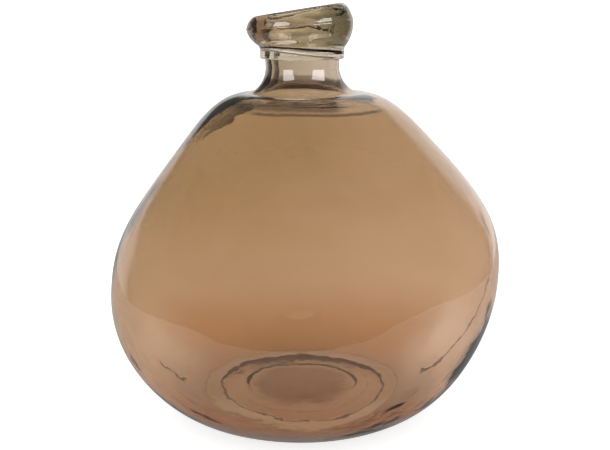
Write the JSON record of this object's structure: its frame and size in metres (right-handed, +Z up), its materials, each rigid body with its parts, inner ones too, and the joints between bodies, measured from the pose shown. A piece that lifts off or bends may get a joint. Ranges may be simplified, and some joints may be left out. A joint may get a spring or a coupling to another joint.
{
  "type": "vase",
  "caption": "Round free-blown amber glass vase with a punted foot, a narrow neck and a heavy leaning lip, for stems or dried branches.",
  "frame": {"origin": "on the surface the vase stands on, under the middle of its overall box", "axes": "+Z up out of the mouth, the high side of the lip to +X, the pictured front to -Y"},
  "size_m": [0.3256, 0.3246, 0.3369],
  "materials": {
    "amber_glass": "fire-polished clear glass, thin amber coat on the outside",
    "lip_glass": "fire-polished thick glass, thin olive coat on the outside"
  },
  "bodies": {
    "root": {"blown_body": "amber_glass", "applied_lip": "lip_glass"}
  },
  "joints": []
}
